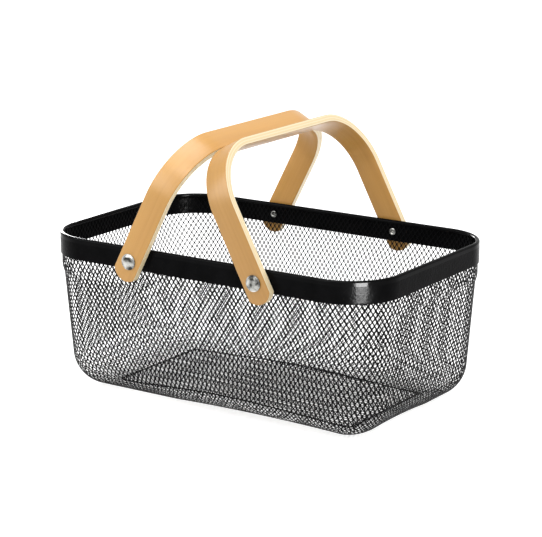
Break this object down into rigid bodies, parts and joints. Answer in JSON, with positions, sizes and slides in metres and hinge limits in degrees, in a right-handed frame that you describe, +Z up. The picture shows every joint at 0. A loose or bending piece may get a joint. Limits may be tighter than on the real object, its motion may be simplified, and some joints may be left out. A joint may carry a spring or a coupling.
{
  "type": "mesh carrying basket",
  "caption": "Oblong open-top basket of expanded steel mesh with a rolled steel rim band and riveted bentwood handles that fold down outside its ends.",
  "frame": {"origin": "centre of the basket's foot, on the surface that it stands on", "axes": "+X along the basket's length towards the right-hand handle, +Y across its width towards the back, +Z up"},
  "size_m": [0.4, 0.273, 0.2793],
  "materials": {
    "mesh_black": "black powder coat over expanded steel mesh",
    "wire_black": "black powder coat over steel wire",
    "band_black": "glossy black powder coat over steel strip",
    "wire_steel": "bare drawn steel wire, hidden in the rolled edge",
    "washer_black": "black coated steel washer",
    "rivet_steel": "polished steel",
    "handle_wood": "clear lacquered laminated bentwood with pale layered edges"
  },
  "bodies": {
    "basket": {"wall_mesh": "mesh_black", "floor_mesh": "mesh_black", "floor_wire": "wire_black", "rim_band": "band_black", "rim_wire": "wire_steel", "washer_front_left": "washer_black", "washer_front_right": "washer_black", "washer_back_left": "washer_black", "washer_back_right": "washer_black", "rivet_front_left": "rivet_steel", "rivet_front_right": "rivet_steel", "rivet_back_left": "rivet_steel", "rivet_back_right": "rivet_steel"},
    "left_handle": {"handle_left": "handle_wood"},
    "right_handle": {"handle_right": "handle_wood"}
  },
  "joints": [
    {"name": "left_handle_hinge", "type": "hinge", "parent": "basket", "child": "left_handle", "pos_m": [-0.0755, 0, 0.15235], "axis": [0, -1, 0], "range_deg": [0, 132]},
    {"name": "right_handle_hinge", "type": "hinge", "parent": "basket", "child": "right_handle", "pos_m": [0.0755, 0, 0.15235], "axis": [0, 1, 0], "range_deg": [0, 132]}
  ]
}
